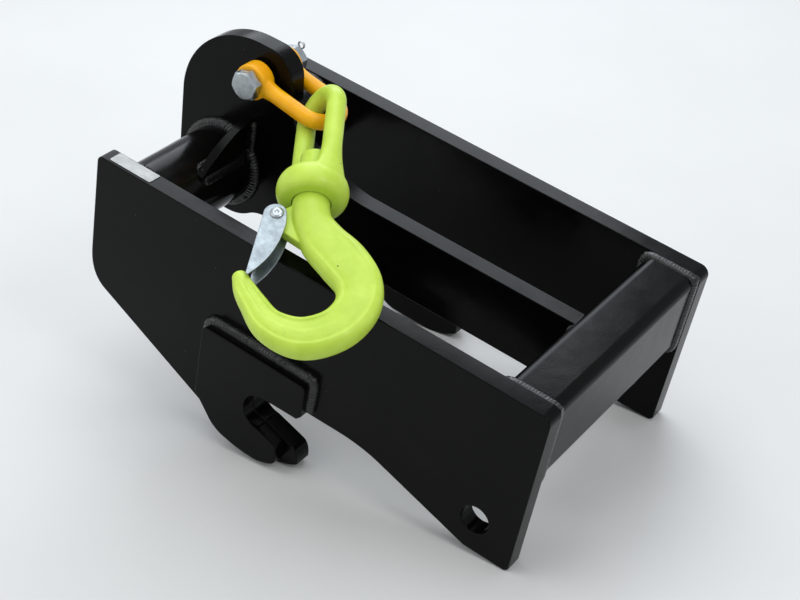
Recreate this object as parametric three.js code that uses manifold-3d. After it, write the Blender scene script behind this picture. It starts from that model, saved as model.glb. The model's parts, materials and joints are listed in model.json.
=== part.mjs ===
// Lifting-hook attachment for an excavator quick coupler: a welded two-plate frame with hook-on claws
// and locking-pin holes, an eye plate with a bolt shackle, and a swivel hook with a sprung latch.
//
// Units are millimetres and +Z is up. The frame is drawn in its own coordinates: X runs along the side
// plates from the eye end to the rear tube, Y runs across (Y = 0 is the middle of the eye plate), and
// Z = 0 is the top edge of the side plates. A tilted group then sets it down on claws and heels, and
// the origin of the finished model is the middle of its box, on the ground.
import * as THREE from 'three';
import { mergeVertices } from 'three/addons/utils/BufferGeometryUtils.js';
import { ParametricGeometry } from 'three/addons/geometries/ParametricGeometry.js';
import Module from 'manifold-3d';

const wasm = await Module();
wasm.setup();

// ---- driving dimensions ------------------------------------------------------------------------

const GAP = 0.3;                 // space kept between pieces that touch
const CHAMFER = 1.2;             // broken edge on cut plate

const FRAME_LENGTH = 569;        // side plate, end to end
const FRAME_WIDTH = 334;         // over the outer faces of the side plates
const SIDE_T = 22;               // side plate thickness
const CHEEK_T = 16;              // claw reinforcing cheek thickness
const EYE_PLATE_T = 22;          // eye plate and centre web, one plate

const PIN_R = 22.5;              // claw seat radius, for a 45 mm coupler pin
const PIN_X = 260;
const PIN_Z = -189;
const LOCK_R = 16.5;             // hole for the coupler's locking pin
const LOCK_X = 520.3;
const LOCK_Z = -169;

const TUBE = { x0: 505, x1: 565, z0: -103, z1: -3, radius: 12, wall: 6 };   // 100 x 60 x 6 section
const PIPE = { x: 47, z: -54, r: 44.45, wall: 8 };                           // 88.9 x 8 pipe
const GUSSET = { x0: 73, t: 10, top: 20, reach: 81, arch: 18 };

const CLAW_FOOT = new THREE.Vector2(272, -258);      // the two lines that the frame rests on
const HEEL_FOOT = new THREE.Vector2(565, -209);

const BOLT_X = 87;               // shackle bolt axis in the eye plate
const BOLT_Z = 77;
const BOLT_R = 9.5;
const BOLT_HOLE_R = 11;
const BOLT_HEAD = { flats: 30, t: 11 };
const BOLT_NUT = { flats: 30, t: 13 };
const BOLT_END = 52;             // bolt tip, from the middle of the eye plate
const SPLIT_PIN_R = 2;
const SPLIT_PIN_Y = 49;
const SPLIT_PIN_EYE = { ring: 3.6, wire: 1.4 };
const SPLIT_PIN_LEG = { r: 1.2, length: 9, spread: 1.05 };   // spread in radians from the pin's axis
const SHACKLE_DIP = 9.2;         // degrees below the frame's own X axis
const BOW_BAR_R = 8.8;
const BOW_HALF = 24.6;           // leg centre to the middle plane, and crown radius
const BOW_LEG = 67.5;            // bolt axis to crown centre
const EAR = { r: 20, y0: 15, t: 18.5 };

const EYE_CENTRE = new THREE.Vector3(170, -14.8, 68.6);  // centre of the swivel eye's top arc
const HOOK_REST = new THREE.Vector3(274.7, -167, 16.4);   // where the hook's axis passes the plate edge
const EYE_TURN = 49;             // degrees that the eye is turned from the hook's plane
const EYE_BAR_R = 10.5;
const EYE_HALF = 26.5;           // eye leg centre to the axis, and radius of the top arc
const COLLAR = { top: 88, bottom: 119, r: 37.5, seat: 9 };
const SHANK_R = 19.5;
const NECK_R = 11;
const SHANK_NUT = { top: 58, r: 16.5 };
const WASHER_T = 3;

const LATCH_PIVOT = new THREE.Vector2(-31.5, -141);   // in the hook's own plane
const RIVET_R = 4.5;
const LUG_T = 13;
const LUG_R = 6.8;
const RIVET_HEAD = { r: 6.9, t: 2.2 };
const LATCH_T = 2;               // sheet thickness
const LATCH_W = 25;              // over the outside of its two cheeks
const LATCH_TOP = { x: -2, r: 11.8 };                 // round end of each cheek, from the rivet
const LATCH_TIP = new THREE.Vector2(-23.5, -76.8);    // from the rivet
const LATCH_BACK_END = -58;      // foot of the strip that joins the cheeks, from the rivet
const SPRING = { coil: 6.4, wire: 0.45, turns: 1.75, y0: 7.25, y1: 9.75 };

const ARC_STEPS = 7;
const ROUND_STEPS = 24;

// ---- materials ---------------------------------------------------------------------------------

function material(color, roughness, metalness) {
  return new THREE.MeshStandardMaterial({ color, roughness, metalness });
}

const blackPaint = material(0x0b0c0e, 0.25, 0.1);
const orangePaint = material(0xe98a06, 0.45, 0.0);
const greenPaint = material(0xa8dc2c, 0.45, 0.0);
const zinc = material(0xb9bfc6, 0.35, 1.0);
const bronze = material(0xb08a4a, 0.4, 1.0);
const springSteel = material(0x55585c, 0.35, 1.0);
const foil = material(0xc8cbd0, 0.3, 0.8);

// ---- geometry helpers --------------------------------------------------------------------------

// A closed three.js geometry as a manifold solid, with its doubled corners joined.
function toSolid(geometry) {
  const bare = geometry.index ? geometry.toNonIndexed() : geometry.clone();
  bare.deleteAttribute('normal');
  bare.deleteAttribute('uv');
  const merged = mergeVertices(bare, 1e-3);
  const triVerts = [];
  const { array } = merged.index;
  for (let i = 0; i < array.length; i += 3) {
    const [a, b, c] = [array[i], array[i + 1], array[i + 2]];
    if (a !== b && b !== c && c !== a) triVerts.push(a, b, c);
  }
  return new wasm.Manifold(new wasm.Mesh({
    numProp: 3,
    vertProperties: new Float32Array(merged.attributes.position.array),
    triVerts: new Uint32Array(triVerts),
  }));
}

function toGeometry(solid) {
  const mesh = solid.getMesh();
  const geometry = new THREE.BufferGeometry();
  geometry.setAttribute('position', new THREE.BufferAttribute(new Float32Array(mesh.vertProperties), 3));
  geometry.setIndex(new THREE.BufferAttribute(new Uint32Array(mesh.triVerts), 1));
  geometry.computeVertexNormals();
  return geometry;
}

// The first geometry, with the others of `join` added and those of `cut` taken away.
function carve(first, { join = [], cut = [] }) {
  let solid = toSolid(first);
  for (const piece of join) solid = solid.add(toSolid(piece));
  for (const piece of cut) solid = solid.subtract(toSolid(piece));
  return toGeometry(solid);
}

// The same outline with its curves as short lines, no two corners in one place, and its rim and
// holes turned opposite ways.
function asPolygon(shape) {
  const tidy = (points, clockwise) => {
    const apart = points.filter((p, i) => {
      const before = points[(i + points.length - 1) % points.length];
      return p.distanceTo(before) > 0.05;
    });
    return THREE.ShapeUtils.isClockWise(apart) === clockwise ? apart : apart.reverse();
  };
  const { shape: outline, holes } = shape.extractPoints(ARC_STEPS);
  const polygon = new THREE.Shape(tidy(outline, false));
  polygon.holes = holes.map((hole) => new THREE.Path(tidy(hole, true)));
  return polygon;
}

// A plate drawn in X and Z that lies between two heights in Y, with its edges broken.
function plate(shape, yFrom, yTo, chamfer = CHAMFER) {
  const geometry = new THREE.ExtrudeGeometry(asPolygon(shape), {
    depth: yTo - yFrom - 2 * chamfer,
    bevelEnabled: chamfer > 0,
    bevelThickness: chamfer,
    bevelSize: chamfer,
    bevelOffset: -chamfer,
    bevelSegments: 1,
  });
  geometry.rotateX(Math.PI / 2);
  geometry.translate(0, yTo - chamfer, 0);
  return geometry;
}

// A round bar along Y, or along Z if `upright`.
function bar(radius, length, x, y, z, steps = ROUND_STEPS, upright = false) {
  const geometry = new THREE.CylinderGeometry(radius, radius, length, steps);
  if (upright) geometry.rotateX(Math.PI / 2);
  geometry.translate(x, y, z);
  return geometry;
}

function hexBar(flats, length, x, y, z) {
  return bar(flats / Math.sqrt(3), length, x, y, z, 6);
}

// A round wire along a curve.
function wire(curve, radius, steps, sides) {
  const section = new THREE.Shape().absarc(0, 0, radius, 0, 2 * Math.PI, false);
  return new THREE.ExtrudeGeometry(section, {
    steps,
    curveSegments: sides,
    bevelEnabled: false,
    extrudePath: curve,
  });
}

function addMesh(group, name, geometry, look) {
  const mesh = new THREE.Mesh(geometry, look);
  mesh.name = name;
  group.add(mesh);
  return mesh;
}

// ---- outlines of the cut plates, in X and Z ----------------------------------------------------

// The claw's open seat, drawn from the end of its upper jaw to the start of its lower jaw.
function clawSeat(shape) {
  shape.lineTo(PIN_X, PIN_Z + PIN_R);
  shape.absarc(PIN_X, PIN_Z, PIN_R, Math.PI / 2, 1.5 * Math.PI, false);
}

function sidePlateShape() {
  const shape = new THREE.Shape();
  shape.moveTo(0, -7);
  shape.absarc(7, -7, 7, Math.PI, Math.PI / 2, true);
  shape.absarc(FRAME_LENGTH - 11, -11, 11, Math.PI / 2, 0, true);
  shape.lineTo(FRAME_LENGTH, HEEL_FOOT.y + 4);
  shape.lineTo(HEEL_FOOT.x, HEEL_FOOT.y);
  shape.lineTo(515, HEEL_FOOT.y);
  shape.lineTo(406, -174.3);
  shape.quadraticCurveTo(380, -165.5, 350, -165.5);
  clawSeat(shape);
  shape.lineTo(296, -223);
  shape.quadraticCurveTo(305, -227, 305, -243.5);
  shape.quadraticCurveTo(300, -248, 285, -254.2);
  shape.lineTo(CLAW_FOOT.x, CLAW_FOOT.y);
  shape.quadraticCurveTo(268, -259, 262, -259);
  shape.lineTo(215, -259);
  shape.quadraticCurveTo(207, -258, 200, -254);
  shape.lineTo(22, -168);
  shape.quadraticCurveTo(0, -157.5, 0, -122);
  shape.closePath();
  const hole = new THREE.Path().absarc(LOCK_X, LOCK_Z, LOCK_R, 0, 2 * Math.PI, true);
  shape.holes.push(hole);
  return shape;
}

function clawCheekShape() {
  const shape = new THREE.Shape();
  shape.moveTo(172, -212);
  shape.absarc(180, -128, 8, Math.PI, Math.PI / 2, true);
  shape.absarc(303.5, -126, 6, Math.PI / 2, 0, true);
  shape.lineTo(309.5, -160);
  shape.lineTo(304.7, -165.5);
  clawSeat(shape);
  shape.lineTo(284, -219.3);
  shape.quadraticCurveTo(288.5, -230, 286, -243);
  shape.quadraticCurveTo(283, -249, 263, -254.5);
  shape.quadraticCurveTo(241, -256.5, 216, -250.4);
  shape.quadraticCurveTo(201, -246.5, 193, -236);
  shape.closePath();
  return shape;
}

function eyePlateShape() {
  const shape = new THREE.Shape();
  const left = -14;
  const webTop = -13;
  const webFoot = -95;
  const end = TUBE.x0 - GAP;
  shape.moveTo(left, -88);
  shape.absarc(78, 16, 97, Math.PI, Math.PI / 2, true);
  shape.absarc(94, 81.5, 31.5, Math.PI / 2, 0, true);
  shape.lineTo(127.5, 64);
  shape.bezierCurveTo(132, 38, 150, 3, 196, -5);
  shape.quadraticCurveTo(216, -12.5, 238, webTop);
  shape.lineTo(end, webTop);
  shape.lineTo(end, webFoot);
  shape.lineTo(122, webFoot);
  shape.quadraticCurveTo(102, webFoot, 92, -103);
  shape.quadraticCurveTo(78, -114, 60, -114);
  shape.lineTo(12, -114);
  shape.absarc(12, -88, 26, 1.5 * Math.PI, Math.PI, true);
  shape.closePath();
  const hole = new THREE.Path().absarc(BOLT_X, BOLT_Z, BOLT_HOLE_R, 0, 2 * Math.PI, true);
  shape.holes.push(hole);
  return shape;
}

// ---- welded frame ------------------------------------------------------------------------------

const HALF = FRAME_WIDTH / 2;
const INNER = HALF - SIDE_T;
const EYE_FACE = EYE_PLATE_T / 2;

function rearTube() {
  const { x0, x1, z0, z1, radius, wall } = TUBE;
  const box = (inset, path, r) => {
    path.absarc(x1 - inset - r, z1 - inset - r, r, 0, Math.PI / 2, false);
    path.absarc(x0 + inset + r, z1 - inset - r, r, Math.PI / 2, Math.PI, false);
    path.absarc(x0 + inset + r, z0 + inset + r, r, Math.PI, 1.5 * Math.PI, false);
    path.absarc(x1 - inset - r, z0 + inset + r, r, 1.5 * Math.PI, 2 * Math.PI, false);
    path.closePath();
    return path;
  };
  const shape = box(0, new THREE.Shape(), radius);
  shape.holes.push(box(wall, new THREE.Path(), radius - wall));
  return plate(shape, -INNER + GAP, INNER - GAP, 0);
}

function pipeHalf(side) {
  const shape = new THREE.Shape().absarc(PIPE.x, PIPE.z, PIPE.r, 0, 2 * Math.PI, false);
  shape.holes.push(new THREE.Path().absarc(PIPE.x, PIPE.z, PIPE.r - PIPE.wall, 0, 2 * Math.PI, true));
  const near = EYE_FACE + GAP;
  const far = INNER - GAP;
  return side < 0 ? plate(shape, -far, -near, 0) : plate(shape, near, far, 0);
}

// A plate across the eye plate that stands on the pipe, drawn in Y and Z and cut to the pipe's curve.
function gusset(side) {
  const { x0, t, top, reach, arch } = GUSSET;
  const foot = PIPE.z + PIPE.r * 0.6;
  const toe = foot + 6;
  const shape = new THREE.Shape();
  shape.moveTo(EYE_FACE + GAP, top);
  shape.quadraticCurveTo(EYE_FACE + reach / 2, (top + toe) / 2 + arch, EYE_FACE + reach, toe);
  shape.lineTo(EYE_FACE + reach, PIPE.z);
  shape.lineTo(EYE_FACE + GAP, PIPE.z);
  shape.closePath();
  const geometry = new THREE.ExtrudeGeometry(shape, { depth: t, curveSegments: 8, bevelEnabled: false });
  geometry.applyMatrix4(new THREE.Matrix4().makeBasis(
    new THREE.Vector3(0, 1, 0),
    new THREE.Vector3(0, 0, 1),
    new THREE.Vector3(1, 0, 0),
  ));
  geometry.translate(x0, 0, 0);
  const cutter = bar(PIPE.r + GAP, 2 * FRAME_WIDTH, PIPE.x, 0, PIPE.z, 96);
  const solid = toSolid(geometry).subtract(toSolid(cutter));
  return toGeometry(side < 0 ? solid.mirror([0, 1, 0]) : solid);
}

function typeLabel() {
  const shape = new THREE.Shape();
  shape.moveTo(14, GAP);
  shape.lineTo(70, GAP);
  shape.lineTo(70, GAP + 0.6);
  shape.lineTo(14, GAP + 0.6);
  shape.closePath();
  return plate(shape, -HALF + 3, -INNER - 2, 0);
}

const frame = new THREE.Group();
addMesh(frame, 'near_side_plate', plate(sidePlateShape(), -HALF, -INNER), blackPaint);
addMesh(frame, 'far_side_plate', plate(sidePlateShape(), INNER, HALF), blackPaint);
addMesh(frame, 'near_claw_cheek', plate(clawCheekShape(), -HALF - CHEEK_T, -HALF - GAP), blackPaint);
addMesh(frame, 'far_claw_cheek', plate(clawCheekShape(), HALF + GAP, HALF + CHEEK_T), blackPaint);
addMesh(frame, 'rear_cross_tube', rearTube(), blackPaint);
addMesh(frame, 'near_front_pipe', pipeHalf(-1), blackPaint);
addMesh(frame, 'far_front_pipe', pipeHalf(1), blackPaint);
addMesh(frame, 'eye_plate', plate(eyePlateShape(), -EYE_FACE, EYE_FACE), blackPaint);
addMesh(frame, 'near_gusset', gusset(-1), blackPaint);
addMesh(frame, 'far_gusset', gusset(1), blackPaint);
addMesh(frame, 'type_label', typeLabel(), foil);

// ---- shackle: X runs from the bolt to the crown, Y is the bolt's axis -----------------------------

class BowCurve extends THREE.Curve {
  // Leg, half circle, leg, all in the plane Z = 0, at an even speed.
  getPoint(t, target = new THREE.Vector3()) {
    const start = 6;
    const leg = BOW_LEG - start;
    const crown = Math.PI * BOW_HALF;
    const at = t * (2 * leg + crown);
    if (at < leg) return target.set(start + at, -BOW_HALF, 0);
    if (at > leg + crown) return target.set(BOW_LEG - (at - leg - crown), BOW_HALF, 0);
    const angle = (at - leg) / BOW_HALF - Math.PI / 2;
    return target.set(BOW_LEG + BOW_HALF * Math.cos(angle), BOW_HALF * Math.sin(angle), 0);
  }
}

function shackleBow() {
  const ears = [-1, 1].map((side) => bar(EAR.r, EAR.t, 0, side * (EAR.y0 + EAR.t / 2), 0));
  const throat = new THREE.BoxGeometry(2 * EAR.r + 4, 2 * EAR.y0, 2 * EAR.r + 4);
  const hole = bar(BOLT_R + GAP, 4 * BOW_HALF, 0, 0, 0);
  return carve(wire(new BowCurve(), BOW_BAR_R, 36, 16), { join: ears, cut: [throat, hole] });
}

function shackleBolt() {
  const headY = -(EAR.y0 + EAR.t + GAP);
  const stem = bar(BOLT_R, BOLT_END - headY, 0, (BOLT_END + headY) / 2, 0);
  const head = hexBar(BOLT_HEAD.flats, BOLT_HEAD.t, 0, headY - BOLT_HEAD.t / 2, 0);
  const pinHole = bar(SPLIT_PIN_R + GAP, 4 * BOLT_R, 0, SPLIT_PIN_Y, 0, 12, true);
  return carve(stem, { join: [head], cut: [pinHole] });
}

function shackleNut() {
  const y = EAR.y0 + EAR.t + GAP + BOLT_NUT.t / 2;
  return carve(hexBar(BOLT_NUT.flats, BOLT_NUT.t, 0, y, 0), {
    cut: [bar(BOLT_R + GAP, 2 * BOLT_NUT.t, 0, y, 0)],
  });
}

// A split pin: its round eye stands above the bolt and its two legs are bent away below.
function splitPin() {
  const top = BOLT_R + 3;
  const stem = bar(SPLIT_PIN_R, 2 * top, 0, SPLIT_PIN_Y, 0, 12, true);
  const eye = new THREE.TorusGeometry(SPLIT_PIN_EYE.ring, SPLIT_PIN_EYE.wire, 8, 16);
  eye.rotateX(Math.PI / 2);
  eye.translate(0, SPLIT_PIN_Y, top + SPLIT_PIN_EYE.ring + 0.6);
  const legs = [-1, 1].map((side) => {
    const leg = new THREE.CylinderGeometry(SPLIT_PIN_LEG.r, SPLIT_PIN_LEG.r, SPLIT_PIN_LEG.length, 8);
    leg.rotateZ(side * SPLIT_PIN_LEG.spread);
    leg.rotateX(Math.PI / 2);
    leg.translate(side * 3.4, SPLIT_PIN_Y, -top - 1.2);
    return leg;
  });
  return carve(stem, { join: [eye, ...legs] });
}

const shackle = new THREE.Group();
shackle.position.set(BOLT_X, 0, BOLT_Z);
shackle.rotation.y = THREE.MathUtils.degToRad(SHACKLE_DIP);
frame.add(shackle);
addMesh(shackle, 'shackle_bow', shackleBow(), orangePaint);
addMesh(shackle, 'shackle_bolt', shackleBolt(), zinc);
addMesh(shackle, 'shackle_nut', shackleNut(), zinc);
addMesh(shackle, 'split_pin', splitPin(), zinc);

// ---- swivel hook: +Z runs up the shank to the eye, the hook lies in its own plane Y = 0 -------------

const hookSet = new THREE.Group();
const down = HOOK_REST.clone().sub(EYE_CENTRE).normalize();
const across = new THREE.Vector3(1, 0, 0).addScaledVector(down, -down.x).normalize();
const hookZ = down.clone().negate();
const hookY = hookZ.clone().cross(across);
hookSet.position.copy(EYE_CENTRE);
hookSet.quaternion.setFromRotationMatrix(new THREE.Matrix4().makeBasis(across, hookY, hookZ));
frame.add(hookSet);

class EyeCurve extends THREE.Curve {
  // Up one leg, over the top arc and down the other, in the plane Y = 0, at an even speed.
  getPoint(t, target = new THREE.Vector3()) {
    const leg = COLLAR.top + 12;
    const arch = Math.PI * EYE_HALF;
    const at = t * (2 * leg + arch);
    if (at < leg) return target.set(-EYE_HALF, 0, at - leg);
    if (at > leg + arch) return target.set(EYE_HALF, 0, -(at - leg - arch));
    const angle = Math.PI - (at - leg) / EYE_HALF;
    return target.set(EYE_HALF * Math.cos(angle), 0, EYE_HALF * Math.sin(angle));
  }
}

// The collar's outer skin from its flat top to its flat foot, as radius and height.
function collarProfile() {
  const { top, bottom, r } = COLLAR;
  const skin = new THREE.Path();
  skin.moveTo(0, -top);
  skin.lineTo(r - 15, -top);
  skin.bezierCurveTo(r - 4, -top, r, -top - 7, r, -top - 17);
  skin.bezierCurveTo(r, -bottom + 9, r - 3, -bottom, r - 10, -bottom);
  skin.lineTo(0, -bottom);
  return skin.getPoints(5);
}

function swivelEye() {
  const { top, bottom, seat } = COLLAR;
  const bottomUp = collarProfile().reverse();
  const collar = new THREE.LatheGeometry(bottomUp, 32);
  collar.rotateX(Math.PI / 2);
  const bore = bar(NECK_R + 0.5, 2 * (bottom - top), 0, 0, -(top + bottom) / 2, ROUND_STEPS, true);
  const socket = bar(SHANK_R + 1, 2 * seat, 0, 0, -bottom, 36, true);
  const nutRoom = bar(SHANK_NUT.r + 0.8, 2 * (top - 40), 0, 0, -40, 36, true);
  return carve(wire(new EyeCurve(), EYE_BAR_R, 40, 16), { join: [collar], cut: [bore, socket, nutRoom] });
}

// The hook as stations down its middle line: place, half width in the hook's plane, half thickness,
// and how boxy the section is (0 round, 1 square). x is to the back of the hook, z is up.
const HOOK_STATIONS = [
  { x: 0, z: -113, wide: 19.5, thick: 19.5, boxy: 0 },
  { x: 0.5, z: -128, wide: 19.5, thick: 19.5, boxy: 0 },
  { x: 4, z: -145, wide: 20.5, thick: 18, boxy: 0.1 },
  { x: 17, z: -168, wide: 24, thick: 16, boxy: 0.3 },
  { x: 38, z: -192, wide: 26, thick: 15.2, boxy: 0.4 },
  { x: 55, z: -219, wide: 24, thick: 15.2, boxy: 0.4 },
  { x: 55.5, z: -246, wide: 22.8, thick: 15.2, boxy: 0.4 },
  { x: 38, z: -271.5, wide: 22.3, thick: 15.2, boxy: 0.4 },
  { x: 6, z: -283.5, wide: 22, thick: 15, boxy: 0.4 },
  { x: -26.5, z: -270.5, wide: 17.2, thick: 14.2, boxy: 0.3 },
  { x: -45.5, z: -245, wide: 13.6, thick: 12.6, boxy: 0.2 },
  { x: -55.5, z: -228, wide: 11.5, thick: 11, boxy: 0.1 },
  { x: -62, z: -213, wide: 8, thick: 8, boxy: 0 },
];

function hookLoft() {
  const middle = new THREE.CatmullRomCurve3(HOOK_STATIONS.map((s) => new THREE.Vector3(s.x, 0, s.z)));
  const spans = HOOK_STATIONS.length - 1;
  const mixAt = (key, t) => {
    const at = Math.min(t * spans, spans - 1e-6);
    const i = Math.floor(at);
    return THREE.MathUtils.lerp(HOOK_STATIONS[i][key], HOOK_STATIONS[i + 1][key], at - i);
  };
  // v runs along the bar with a little of each end spent on closing it, u runs round it.
  const capShare = 0.06;
  return new ParametricGeometry((u, v, target) => {
    const start = Math.min(v / (capShare / 6), 1);
    const end = Math.min((1 - v) / capShare, 1);
    const t = THREE.MathUtils.clamp((v - capShare / 6) / (1 - capShare * 7 / 6), 0, 1);
    const round = Math.sqrt(1 - (1 - end) ** 2) * start;
    const point = middle.getPoint(t);
    const tangent = middle.getTangent(t);
    const side = new THREE.Vector3(tangent.z, 0, -tangent.x);
    const power = 1 - 0.5 * mixAt('boxy', t);
    const angle = 2 * Math.PI * u;
    const c = Math.cos(angle);
    const s = Math.sin(angle);
    const wide = mixAt('wide', t) * round * Math.sign(c) * Math.abs(c) ** power;
    const thick = mixAt('thick', t) * round * Math.sign(s) * Math.abs(s) ** power;
    target.copy(point).addScaledVector(side, wide);
    target.addScaledVector(tangent, (1 - end) * mixAt('wide', t) * 0.75);
    target.y += thick;
  }, 20, 48);
}

function lugShape() {
  const shape = new THREE.Shape();
  shape.moveTo(-12, -121.5);
  shape.lineTo(LATCH_PIVOT.x, LATCH_PIVOT.y + LUG_R);
  shape.absarc(LATCH_PIVOT.x, LATCH_PIVOT.y, LUG_R, Math.PI / 2, Math.PI * 1.25, false);
  shape.lineTo(-25, -160);
  shape.lineTo(0, -178);
  shape.closePath();
  return shape;
}

function hookBody() {
  const neckTop = SHANK_NUT.top + 1;
  const neckFoot = COLLAR.bottom - 2;
  const neck = bar(NECK_R, neckFoot - neckTop, 0, 0, -(neckTop + neckFoot) / 2, ROUND_STEPS, true);
  const lug = plate(lugShape(), -LUG_T / 2, LUG_T / 2, 0);
  const rivetHole = bar(RIVET_R + GAP, 2 * LATCH_W, LATCH_PIVOT.x, 0, LATCH_PIVOT.y);
  return carve(hookLoft(), { join: [neck, lug], cut: [rivetHole] });
}

function shankNut() {
  const foot = COLLAR.top - GAP - WASHER_T - GAP;
  const { top, r } = SHANK_NUT;
  return carve(bar(r, foot - top, 0, 0, -(top + foot) / 2, ROUND_STEPS, true), {
    cut: [bar(NECK_R + GAP, 2 * (foot - top), 0, 0, -foot, ROUND_STEPS, true)],
  });
}

function thrustWasher() {
  const z = -(COLLAR.top - GAP - WASHER_T / 2);
  return carve(bar(SHANK_NUT.r + 0.4, WASHER_T, 0, 0, z, ROUND_STEPS, true), {
    cut: [bar(NECK_R + GAP, 3 * WASHER_T, 0, 0, z, ROUND_STEPS, true)],
  });
}

const eyeTurn = new THREE.Group();
eyeTurn.rotation.z = THREE.MathUtils.degToRad(-EYE_TURN);
hookSet.add(eyeTurn);
addMesh(eyeTurn, 'swivel_eye', swivelEye(), greenPaint);
addMesh(hookSet, 'hook_body', hookBody(), greenPaint);
addMesh(hookSet, 'shank_nut', shankNut(), greenPaint);
addMesh(hookSet, 'thrust_washer', thrustWasher(), bronze);

// ---- latch: X and Z as on the hook, with the rivet at the origin ---------------------------------------

// One cheek, seen square on: round at the rivet and tapering to the tip.
function latchCheekShape() {
  const shape = new THREE.Shape();
  shape.absarc(LATCH_TOP.x, 0, LATCH_TOP.r, 0, Math.PI, false);
  shape.lineTo(LATCH_TIP.x, LATCH_TIP.y + 1.5);
  shape.lineTo(LATCH_TIP.x + 2.5, LATCH_TIP.y);
  shape.bezierCurveTo(-9, -65, 6, -50, LATCH_TOP.x + LATCH_TOP.r + 0.6, -12);
  shape.closePath();
  return shape;
}

// The pressed sheet: two cheeks joined by a back along the side that faces away from the bowl.
function latchSheet() {
  const whole = plate(latchCheekShape(), -LATCH_W / 2, LATCH_W / 2, 0);
  const backX = LATCH_TOP.x - LATCH_TOP.r;
  const hollow = new THREE.Shape();
  hollow.moveTo(30, 20);
  hollow.lineTo(backX - 9, 20);
  hollow.lineTo(backX - 9, 2);
  hollow.lineTo(backX + 2.2, 0);
  hollow.lineTo(THREE.MathUtils.lerp(backX, LATCH_TIP.x, LATCH_BACK_END / LATCH_TIP.y) + 2.2, LATCH_BACK_END);
  hollow.lineTo(LATCH_TIP.x - 9, LATCH_BACK_END);
  hollow.lineTo(LATCH_TIP.x - 9, LATCH_TIP.y - 9);
  hollow.lineTo(30, LATCH_TIP.y - 9);
  hollow.closePath();
  const inside = plate(hollow, -LATCH_W / 2 + LATCH_T, LATCH_W / 2 - LATCH_T, 0);
  const rivetHole = bar(RIVET_R + GAP, 2 * LATCH_W, 0, 0, 0);
  return carve(whole, { cut: [inside, rivetHole] });
}

// A round-headed rivet through both cheeks and the lug.
function latchRivet() {
  const stem = bar(RIVET_R, LATCH_W + 2, 0, 0, 0);
  const headY = LATCH_W / 2 + GAP + RIVET_HEAD.t / 2;
  const heads = [-1, 1].map((side) => bar(RIVET_HEAD.r, RIVET_HEAD.t, 0, side * headY, 0, 20));
  return carve(stem, { join: heads });
}

class SpringCurve extends THREE.Curve {
  // An open coil round the rivet, between the lug and one cheek.
  getPoint(t, target = new THREE.Vector3()) {
    const { coil, turns, y0, y1 } = SPRING;
    const angle = 2 * Math.PI * turns * t;
    return target.set(coil * Math.cos(angle), THREE.MathUtils.lerp(y0, y1, t), coil * Math.sin(angle));
  }
}

const latch = new THREE.Group();
latch.position.set(LATCH_PIVOT.x, 0, LATCH_PIVOT.y);
hookSet.add(latch);
addMesh(latch, 'latch', latchSheet(), zinc);
addMesh(latch, 'latch_rivet', latchRivet(), zinc);
addMesh(latch, 'latch_spring', wire(new SpringCurve(), SPRING.wire, 28, 6), springSteel);

// ---- set down on the ground -------------------------------------------------------------------------------

const heelToClaw = CLAW_FOOT.clone().sub(HEEL_FOOT);
frame.rotation.y = Math.atan2(-heelToClaw.y, -heelToClaw.x);

const model = new THREE.Group();
model.add(frame);
model.updateMatrixWorld(true);
const box = new THREE.Box3().setFromObject(model, true);
frame.position.set(-(box.min.x + box.max.x) / 2, -(box.min.y + box.max.y) / 2, -box.min.z);

export default model;
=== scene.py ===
"""Looks of the lifting-hook attachment: a black welded frame, an orange shackle and a green swivel hook.

Lengths are in millimetres in each part's own coordinates, as in the CAD source, and each finished mesh
is turned into metres in the model's frame by its basis matrix.
"""
import json
import math
import random

import bmesh
import bpy
import numpy as np
from mathutils import Matrix, Vector
from mathutils.geometry import tessellate_polygon


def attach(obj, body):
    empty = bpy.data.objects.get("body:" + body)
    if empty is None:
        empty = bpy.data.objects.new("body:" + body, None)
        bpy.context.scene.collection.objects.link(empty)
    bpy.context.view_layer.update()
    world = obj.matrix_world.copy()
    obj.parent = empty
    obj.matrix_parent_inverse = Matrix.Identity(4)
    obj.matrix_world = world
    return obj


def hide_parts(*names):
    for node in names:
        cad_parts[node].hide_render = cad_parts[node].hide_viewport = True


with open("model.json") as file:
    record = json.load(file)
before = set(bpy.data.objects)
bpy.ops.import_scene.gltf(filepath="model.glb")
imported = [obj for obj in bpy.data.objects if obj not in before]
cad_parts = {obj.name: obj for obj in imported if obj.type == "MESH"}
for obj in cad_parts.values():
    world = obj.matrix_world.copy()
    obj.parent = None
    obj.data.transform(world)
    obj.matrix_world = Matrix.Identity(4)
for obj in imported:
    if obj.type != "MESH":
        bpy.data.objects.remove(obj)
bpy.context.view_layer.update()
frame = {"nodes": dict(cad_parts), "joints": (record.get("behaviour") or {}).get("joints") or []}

random.seed(7)

# ---- dimensions, in millimetres ----------------------------------------------------------------

LENGTH = 569
HALF = 167                      # side plate outer face from the middle
INNER = 145                     # side plate inner face
CHEEK_T = 16
EYE_FACE = 11
GAP = 0.3
PIN = (260, -189, 22.5)         # claw seat: x, z, radius
LOCK = (520.3, -169, 16.5)
PIPE = (47, -54, 44.45)
PIPE_WALL = 8
TUBE = (505, 565, -103, -3)     # x0, x1, z0, z1
TUBE_R = 12
TUBE_WALL = 6
GUSSET_X = (73, 83)
GUSSET_TOP = 20
GUSSET_REACH = 81               # from the eye plate's face
GUSSET_ARCH = 18                # how far its curve rises over a straight line
LUG_R = 6.8
BOLT = (87, 77)
BOLT_HOLE_R = 11
WEB = (-13, -95)                # top and foot of the web behind the eye plate
EYE_PLATE_FOOT = -114
CLAW_FOOT = (272, -258)
HEEL_FOOT = (565, -209)
SHACKLE_DIP = 9.2
EYE_CENTRE = Vector((170, -14.8, 68.6))
HOOK_REST = Vector((274.7, -167, 16.4))
EYE_TURN = 49
BAR_R = 8.8
BOW_HALF = 24.6
BOW_LEG = 67.5
EAR_R = 20
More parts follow.
